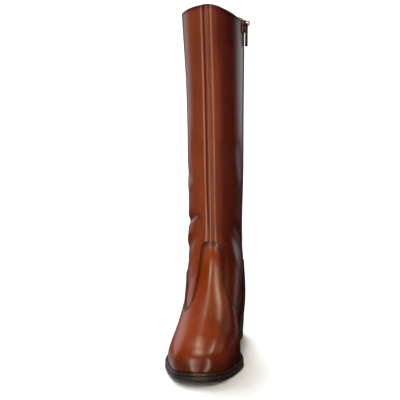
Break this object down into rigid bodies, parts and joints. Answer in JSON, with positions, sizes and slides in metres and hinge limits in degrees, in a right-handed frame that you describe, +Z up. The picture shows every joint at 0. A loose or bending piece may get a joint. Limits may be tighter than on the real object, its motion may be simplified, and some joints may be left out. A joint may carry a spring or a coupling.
{
  "type": "knee-high boot",
  "caption": "Knee-high riding boot in smooth brown leather, right foot, with a low block heel, dark rubber sole with welt, and an inside zip.",
  "frame": {"origin": "on the floor, under the middle of the outsole's length and width", "axes": "+Z up, toe towards -Y, heel towards +Y, medial (inner) side towards +X; the boot is a right one"},
  "size_m": [0.0932, 0.268, 0.4261],
  "materials": {
    "upper_leather": "smooth glazed calf, burnished darker at toe and heel",
    "lining_leather": "natural pigskin",
    "sock_leather": "natural",
    "sole_rubber": "satin",
    "heel_block": "satin, fine stacked lines",
    "zip_fabric": "woven tape",
    "zip_metal": "gunmetal",
    "thread": "waxed thread"
  },
  "bodies": {
    "boot": {"outsole": "sole_rubber", "welt": "sole_rubber", "heel": "heel_block", "top_piece": "sole_rubber", "insole": "sock_leather", "vamp_counter": "upper_leather", "shaft_lateral": "upper_leather", "shaft_front": "upper_leather", "shaft_back": "upper_leather", "zip_tape": "zip_fabric", "zip_slider": "zip_metal"},
    "pull": {"zip_pull": "zip_metal"}
  },
  "joints": [
    {"name": "pull_flip", "type": "hinge", "parent": "boot", "child": "pull", "pos_m": [0.03854, 0.059, 0.3982], "axis": [0, -1, 0], "range_deg": [0, 160]}
  ]
}
